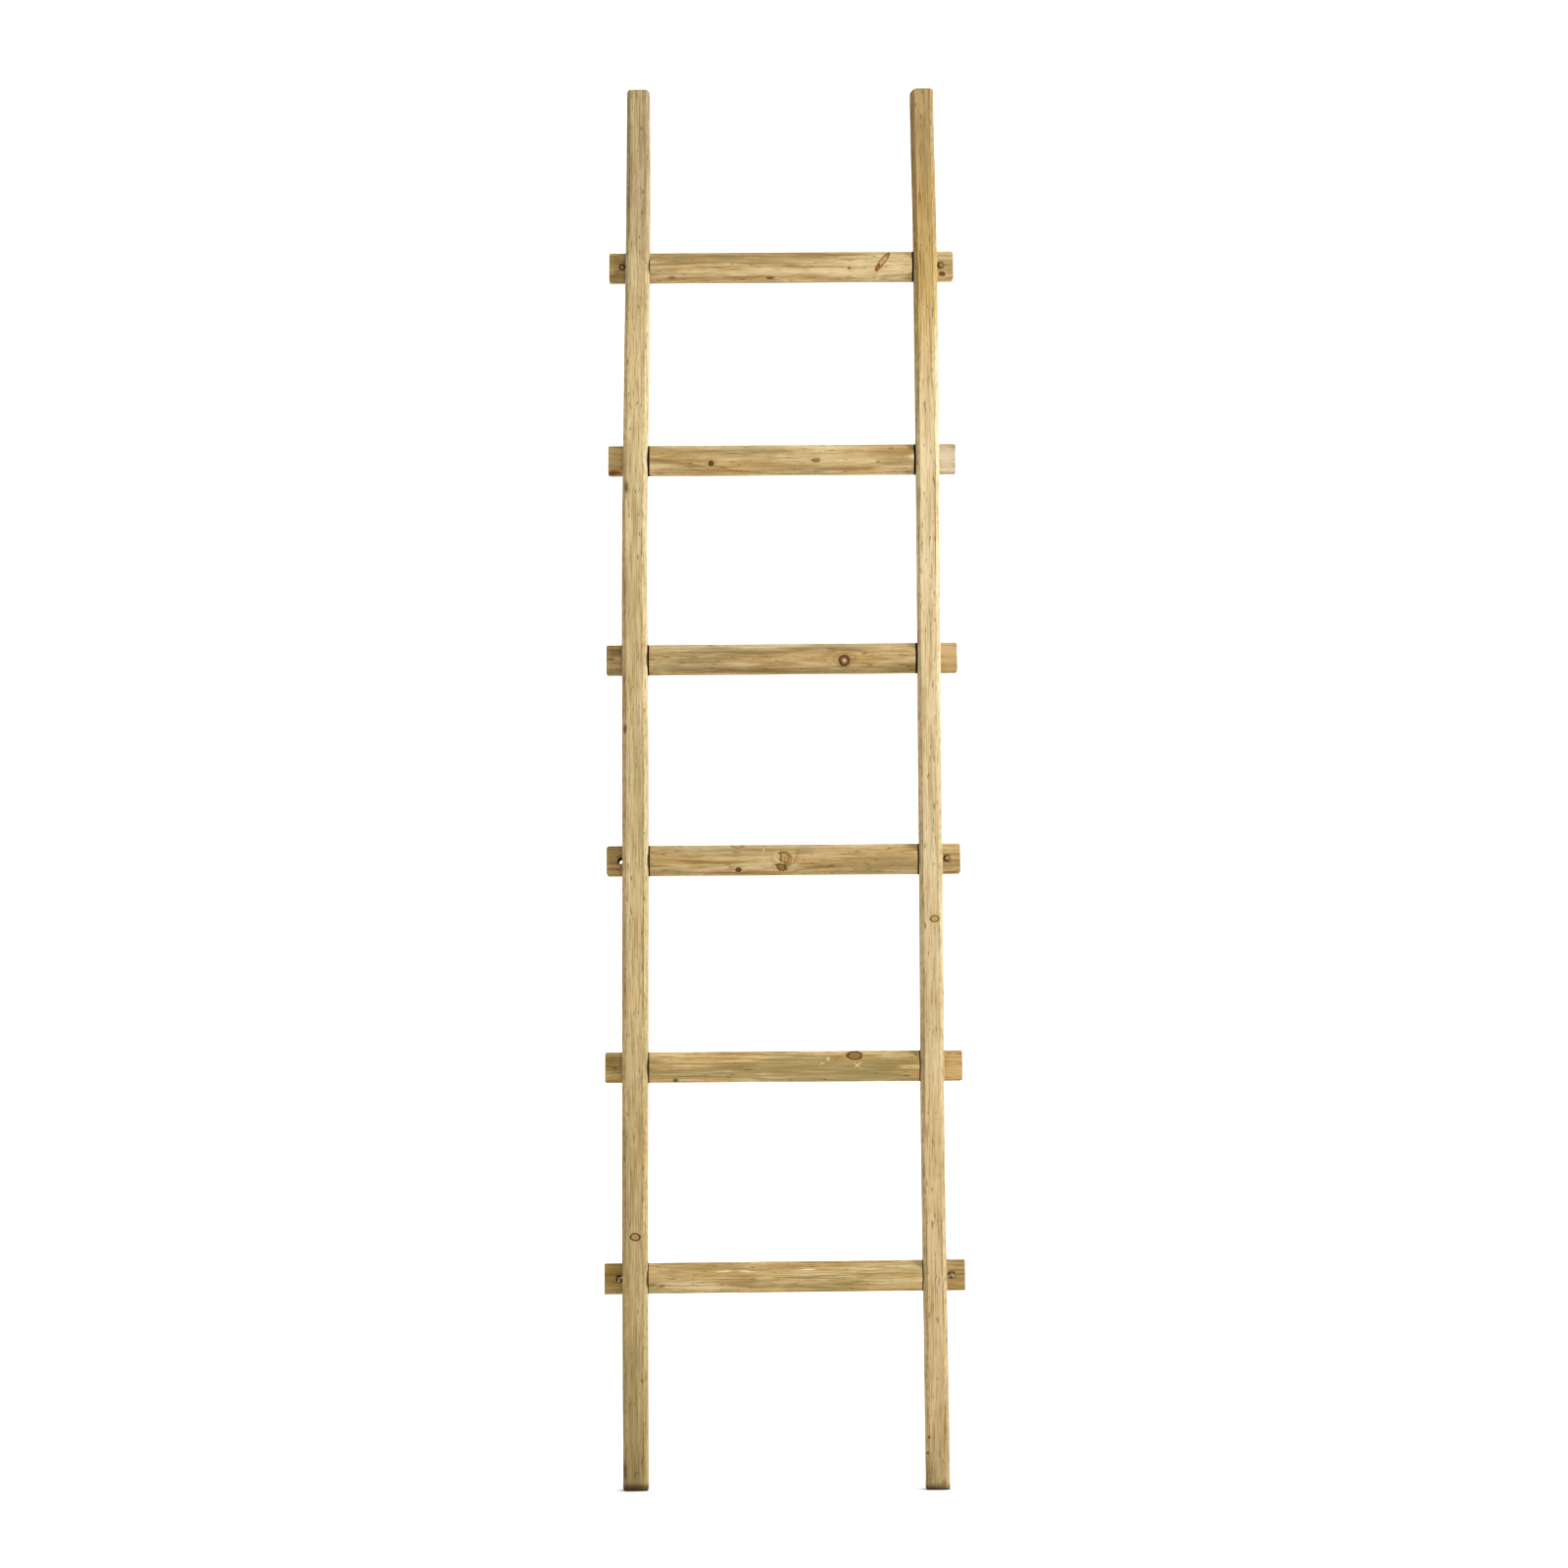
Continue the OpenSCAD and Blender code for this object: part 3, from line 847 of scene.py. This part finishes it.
# at and size in millimetres: along the grain, then up (on a stile: along is height from its
# middle, then towards the left); a fade runs from its first place, where it is nothing, to its second
woodLooks = {
    "left_stile": {
        "seed": 1, "pith": (70, 34), "tilt": 0.010, "ringWidth": 2.1, "ringDepth": 0.42, "wander": 7,
        "ripple": 0.9, "tint": 0.30, "streaks": 0.40, "patch": 0.35, "tone": (1.10, 1.13, 1.17),
        "fades": [
            (640, 820, 0.45, "golden"), (560, 760, 0.66, "weathered"), (-220, -500, 0.36, "golden"),
            (-420, -880, 0.44, "olive"), (-888, -899, 0.85, "grimeAndShade"),
        ],
        "knots": [
            knotAt((-589, -1), (4.5, 6.5), 0.95, "golden", 1.2, rim=1.0),
        ],
        "marks": [
            stain((-575, 0), (110, 18), "olive", 0.40),
            stain((-490, -12), (55, 2.0), "knot", 0.7, ragged=0.4),
            stain((53, 13), (9, 4), "grimeAndShade", 0.8),
            stain((367, 12), (12, 4), "grimeAndShade", 0.8),
            stain((870, 4), (60, 20), "olive", 0.35),
            stain((-875, 12), (18, 5), "grimeAndShade", 0.75, ragged=1.4),
            stain((-897, 0), (7, 40), "grimeAndShade", 0.70, ragged=0.9),
        ],
    },
    "right_stile": {
        "seed": 2, "pith": (-64, 30), "tilt": -0.012, "ringWidth": 2.0, "ringDepth": 0.38, "wander": 7,
        "ripple": 0.9, "tint": 0.20, "streaks": 0.34, "patch": 0.32, "creaseDark": 1.0,
        "tone": (1.13, 1.16, 1.27),
        "fades": [
            (480, 640, 0.70, "golden"), (560, 700, 0.50, "late"), (560, 680, 0.30, "weathered"),
            (470, 600, 0.42, "ochre"), (740, 860, 0.62, "weathered"), (780, 850, 0.28, "umber"),
            (-200, -560, 0.45, "golden"), (-700, -900, 0.24, "olive"), (-890, -899, 0.85, "grimeAndShade"),
        ],
        "knots": [
            knotAt((-192, -4.5), (4.2, 5.5), 0.85, "golden", 1.2, rim=0.9),
        ],
        "marks": [
            stain((-836, 9), (3, 2.5), "grimeAndShade", 0.9),
            stain((-892, -9), (8, 5), "grimeAndShade", 0.45, ragged=1.3),
            stain((-855, 11), (2, 3.5), "grimeAndShade", 0.9),
            stain((-815, -13), (70, 3), "knot", 0.8),
            stain((545, -5), (110, 6), "late", 0.45),
            stain((-460, 8), (14, 5), "olive", 0.5),
        ],
    },
    # on every rung the first fade darkens the left tenon: partly the wood's own darker end, partly painted
    # shade, as that tenon lies in the left stile's shadow
    "rung_1": {
        "seed": 3, "pith": (12, 60), "ringWidth": 3.6, "tint": 0.45,
        "fades": [(-196, -204, 0.42, "umber"), (198, 205, 0.40, "tan")],
        "knots": [
            knotAt((134, 5), (13.5, 3.6), 0.85, "golden", 1.0, turn=56, ragged=0.9, rim=1.0),
            knotAt((127, -4), (5, 2.4), 0.95, "knot", 0.3, turn=60, rim=0.9),
            knotAt((211, -11.5), (3.8, 2.9), 1.0, "knotRim", 0.6, ragged=1.1, rim=0.9),
            knotAt((90, -4.5), (1.8, 1.7), 0.9, "late", 0.6),
        ],
        "marks": [
            stain((-90, 12), (150, 7), "olive", 0.85),
            stain((60, 15), (90, 4), "late", 0.6),
            stain((0, -9), (210, 5), "cream", 0.35),
            stain((-60, -2), (140, 1.1), "grimeAndShade", 0.8, ragged=0.3),
            stain((-13, -16), (9, 3), "grimeAndShade", 0.95),
            stain((-141, -15), (7, 3), "grimeAndShade", 0.7),
            stain((-80, -16), (120, 4), "late", 0.8),
            stain((-212, -7), (8, 5), "late", 0.55, ragged=1.4),
            stain((-214, 12), (10, 2.5), "late", 0.55, ragged=1.2),
        ],
    },
    "rung_2": {
        "seed": 4, "pith": (-6, 42), "tilt": 0.02, "ringWidth": 4.2, "tint": 0.30,
        "tone": (1.06, 1.06, 1.06),
        "fades": [(-196, -204, 0.20, "umber"), (196, 206, 0.85, "bleached")],
        "knots": [
            knotAt((-90, -6), (3.4, 3.4), 1.0, "knotRim", 1.2, rim=1.0),
            knotAt((45, -3), (5.0, 2.2), 0.8, "late", 1.0, ragged=1.0, rim=1.0),
        ],
        "marks": [
            stain((-214, -17), (15, 5), "knot", 1.0),
            stain((214, 0), (16, 26), "bleached", 0.70),
            # painted highlight: a pale band along the top edge, where the light from above falls
            stain((0, 16), (240, 6), "cream", 0.40),
            stain((-218, -18), (8, 3), "grimeAndShade", 0.9),
            stain((0, 1), (80, 1.0), "knot", 0.6, turn=-3, ragged=0.3),
            stain((-20, -7), (70, 0.9), "knot", 0.55, turn=4, ragged=0.3),
            stain((150, -8), (40, 6), "olive", 0.5),
            stain((75, -12), (50, 6), "olive", 0.55),
            stain((-90, 14), (100, 4), "olive", 0.22),
        ],
    },
    "rung_3": {
        "seed": 5, "pith": (8, 70), "ringWidth": 3.2, "tint": 0.60,
        "fades": [(-196, -204, 0.44, "umber"), (198, 205, 0.75, "tan")],
        "knots": [
            knotAt((80, -4), (6.3, 6.3), 1.0, "late", 1.3, rim=1.0, collar="late", heart=0.7),
        ],
        "marks": [
            stain((-80, 7), (105, 9), "olive", 0.80),
            stain((214, 0), (16, 26), "tan", 0.60),
            # painted highlight: a pale band along the top edge, where the light from above falls
            stain((0, 17), (240, 5), "cream", 0.32),
            stain((20, 12), (60, 4), "olive", 0.6),
            stain((98, -6), (36, 8), "knot", 0.45),
            stain((-75, -13), (30, 3), "knot", 0.6),
            stain((-40, -16), (150, 4), "late", 0.7),
        ],
    },
    "rung_4": {
        "seed": 6, "pith": (-14, 50), "ringWidth": 3.8, "tint": 0.35, "tone": (1.06, 1.06, 1.06),
        "fades": [(-196, -204, 0.30, "umber"), (198, 205, 0.40, "tan")],
        "knots": [
            knotAt((3, 2), (6.0, 8.6), 0.85, "golden", 0.8, turn=14, ragged=1.9, rim=1.0),
            knotAt((-1, -10), (6.6, 4.0), 0.9, "late", 0.4, turn=-14, ragged=1.8, rim=1.0),
            knotAt((9, -2), (2.6, 6.0), 0.7, "golden", 0.2, turn=-10, ragged=1.6, rim=0.7),
            knotAt((-56, -13), (3.6, 2.8), 1.0, "knotRim", 0.9, rim=1.0),
            knotAt((-57, 19), (9, 4.5), 0.5, "golden", 0.9, rim=1.0),
        ],
        "marks": [
            # painted highlight: a pale band along the top edge, where the light from above falls
            stain((0, 17), (240, 6), "cream", 0.38),
            stain((30, 12), (22, 7), "olive", 0.35),
            stain((-30, 12), (30, 6), "olive", 0.25),
            stain((110, -12), (60, 7), "olive", 0.6),
            stain((-60, -16), (90, 4), "late", 0.6),
            stain((-24, 12), (1.6, 2.4), "cream", 0.7),
            stain((212, -17), (14, 3), "knot", 0.8),
        ],
    },
    "rung_5": {
        "seed": 7, "pith": (4, 64), "ringWidth": 3.4, "tint": 0.70, "tintLow": 0.61,
        "tone": (1.14, 1.12, 1.04),
        "fades": [(-196, -204, 0.38, "umber"), (198, 205, 0.60, "tan")],
        "knots": [
            knotAt((89, 13), (9.5, 5.4), 0.95, "late", 1.1, ragged=0.9, rim=1.0),
        ],
        "marks": [
            stain((110, -3), (65, 11), "olive", 0.75),
            stain((214, 0), (16, 26), "tan", 0.60),
            stain((-110, -12), (110, 1.2), "grimeAndShade", 0.7, ragged=0.4),
            stain((-40, -8), (70, 0.9), "grimeAndShade", 0.6, ragged=0.4),
            stain((-136, -17), (5, 4), "grimeAndShade", 0.95),
            stain((48, 3), (5, 1.0), "cream", 0.75, turn=20, ragged=1.2),
            stain((56, 9), (3, 3.4), "cream", 0.45, ragged=2.4),
            stain((93, 1), (9, 1.2), "cream", 0.55, turn=38, ragged=0.9),
            stain((93, 0), (9, 1.2), "cream", 0.5, turn=-38, ragged=0.9),
        ],
    },
    "rung_6": {
        "seed": 8, "pith": (-8, 48), "ringWidth": 2.8, "tint": 0.40, "tone": (1.09, 1.09, 1.06),
        "fades": [(-196, -204, 0.80, "umber"), (196, 206, 0.62, "umber")],
        "marks": [
            stain((-76, 7), (14, 1.5), "cream", 1.0, turn=3, ragged=0.7),
            stain((-47, 7), (13, 1.5), "cream", 1.0, turn=-3, ragged=0.7),
            stain((29, 9), (14, 1.4), "cream", 1.0, ragged=0.7),
            stain((-40, 5), (170, 6), "golden", 0.6),
            stain((0, -1), (210, 6), "olive", 0.38),
            stain((40, -11), (120, 4), "olive", 0.7),
            stain((-166, -10), (11, 4), "olive", 0.9),
            stain((214, 0), (16, 26), "late", 0.30),
            stain((-212, 6), (9, 6), "late", 0.50, ragged=1.4),
        ],
    },
}


pegColours = {"cut": (0.440, 0.285, 0.120), "blotch": (0.200, 0.122, 0.042), "fleck": (0.060, 0.038, 0.022)}
pegGrain = {"blotch": (500, 120, 500), "fleck": (1600, 300, 1600)}


def pegMaterial():
    # a cut dowel: brown, darker in blotches, with fine flecks, and its sides painted dark back from the front
    # end as shade inside the hole
    material, tree, shader = newMaterial("peg_wood")
    place = addNode(tree, "ShaderNodeTexCoord").outputs["Object"]
    blotch = noise(tree, place, pegGrain["blotch"], 3.0, 0.6)
    fleck = noise(tree, place, pegGrain["fleck"], 2.0, 0.6)
    colour = mixColour(tree, fit(tree, blotch, 0.35, 0.65), pegColours["cut"], pegColours["blotch"])
    colour = mixColour(tree, fit(tree, fleck, 0.48, 0.68, 0.0, 0.6), colour, pegColours["fleck"])
    # painted shade: the sides, which lie inside the hole, are mixed towards the dark colour
    sides = fit(tree, attribute(tree, "edgeWear"), 0.2, 0.95, 0.75, 0.0)
    tree.links.new(mixColour(tree, sides, colour, woodColours["grimeAndShade"]), shader.inputs["Base Color"])
    tree.links.new(fit(tree, blotch, 0.3, 0.7, 0.65, 0.85), shader.inputs["Roughness"])
    shader.inputs["Specular IOR Level"].default_value = 0.1
    addBump(tree, shader, fleck, 0.1 * mm, 0.5)
    return material


def dress(piece, node, material):
    piece.data.materials.append(material)
    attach(piece, "root")
    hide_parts(node)


for side in ("left", "right"):
    node = side + "_stile"
    material = woodMaterial(node + "_pine", woodLooks[node], middleOf(node), upright=True)
    dress(makeStile(side), node, material)
print("stiles made")
for node in rungNames:
    material = woodMaterial(node + "_pine", woodLooks[node], middleOf(node), upright=False)
    dress(makeRung(node), node, material)
print("rungs made")
dowel = pegMaterial()
for node in pegLook:
    dress(makePeg(node), node, dowel)
print("pegs made")


# in metres and watts; surround: how bright the white round about is as light; contact: how near the
# floor's own light is darkened as painted shade under what stands on it; the painted shadow lies round each
# foot
studio = {
    "key": {"at": (1.95, -0.68, 1.75), "size": (0.30, 0.8), "watts": 60, "aim": (0, 0, 1.2)},
    "top": {"at": (0.3, -1.3, 3.0), "size": (1.2, 0.8), "watts": 22, "aim": (0, 0, 1.0)},
    "halfWidth": 30,
    "frontY": -14,
    "backdropY": 9.0,
    "backdropTop": 22,
    "floorGlow": 0.46,
    "surround": 0.36,
    "contact": 0.006,
    "shadeOffset": (-0.006, 0.030),
    "shadeSize": (0.036, 0.230),
    "shadeDepth": 0.45,
}


def footShade(tree):
    # painted shadow: a faint soft-edged shade painted on the floor round each foot, longest towards the back
    shade = 0.0
    for node in ("left_stile", "right_stile"):
        place = addNode(tree, "ShaderNodeTexCoord").outputs["Object"]
        middle = middleOf(node)
        offX, offY = studio["shadeOffset"]
        halfX, halfY = studio["shadeSize"]
        off = vector(tree, "SUBTRACT", place, (middle.x + offX, middle.y + offY, 0))
        distance = vector(tree, "LENGTH", vector(tree, "MULTIPLY", off, (1 / halfX, 1 / halfY, 0)))
        shade = calc(tree, "ADD", fit(tree, distance, 0.1, 1.0, studio["shadeDepth"], 0.0), shade)
    return calc(tree, "SUBTRACT", 1.0, shade)


def addSheet(name, corners, grey, glow):
    # a flat white sheet that gives off some light of its own
    mesh = bpy.data.meshes.new(name)
    mesh.from_pydata(corners, [], [(0, 1, 2, 3)])
    sheet = addObject(name, mesh)
    material, tree, shader = newMaterial(name)
    shader.inputs["Base Color"].default_value = (grey, grey, grey, 1)
    shader.inputs["Roughness"].default_value = 0.8
    shader.inputs["Specular IOR Level"].default_value = 0.2
    shader.inputs["Emission Color"].default_value = (1, 1, 1, 1)
    shader.inputs["Emission Strength"].default_value = glow
    mesh.materials.append(material)
    return tree, shader


def shadeFloor(tree, shader, grey):
    # painted shade: the floor's glow and colour are darkened in the narrow corner between the floor and what
    # stands on it
    near = addNode(tree, "ShaderNodeAmbientOcclusion", [("Distance", studio["contact"])], samples=8)
    opened = times(tree, near.outputs["AO"], footShade(tree))
    tree.links.new(times(tree, opened, studio["floorGlow"]), shader.inputs["Emission Strength"])
    tree.links.new(mixColour(tree, opened, (0.1, 0.1, 0.1), (grey, grey, grey)), shader.inputs["Base Color"])


def addLight(name, look):
    lamp = bpy.data.lights.new(name, "AREA")
    lamp.shape = "RECTANGLE"
    lamp.size, lamp.size_y = look["size"]
    lamp.energy = look["watts"]
    place = Vector(look["at"])
    addObject(name, lamp).matrix_world = aimed(place, Vector(look["aim"]) - place)


def addStudio():
    # a pale glowing floor that meets a white backdrop, two soft lights and a dim white surround
    wide, front, back, top = (studio[key] for key in ("halfWidth", "frontY", "backdropY", "backdropTop"))
    floorGrey, wallGrey = 0.9, 0.6
    floor = [(-wide, front, 0), (wide, front, 0), (wide, back, 0), (-wide, back, 0)]
    shadeFloor(*addSheet("floor", floor, floorGrey, studio["floorGlow"]), floorGrey)
    wall = [(-wide, back, 0), (wide, back, 0), (wide, back, top), (-wide, back, top)]
    addSheet("backdrop", wall, wallGrey, 1.0)
    addLight("key", studio["key"])
    addLight("top", studio["top"])
    world = bpy.data.worlds.new("studio")
    bpy.context.scene.world = world
    world.use_nodes = True
    tree = world.node_tree
    background = tree.nodes["Background"]
    background.inputs["Color"].default_value = (1, 1, 1, 1)
    # seen directly the surround is white paper; as light on the timber it is dim
    seen = addNode(tree, "ShaderNodeLightPath").outputs["Is Camera Ray"]
    strength = calc(tree, "MULTIPLY_ADD", seen, 1 - studio["surround"], studio["surround"])
    tree.links.new(strength, background.inputs["Strength"])


def printContrast():
    # a plain display with a gentle S in its tones, like a catalogue print
    view = bpy.context.scene.view_settings
    view.view_transform = "Standard"
    view.use_curve_mapping = True
    combined = view.curve_mapping.curves[3]
    for at, value in ((0.10, 0.066), (0.30, 0.265), (0.60, 0.600)):
        combined.points.new(at, value)
    view.curve_mapping.update()


addStudio()
printContrast()
print("light, floor and backdrop placed")
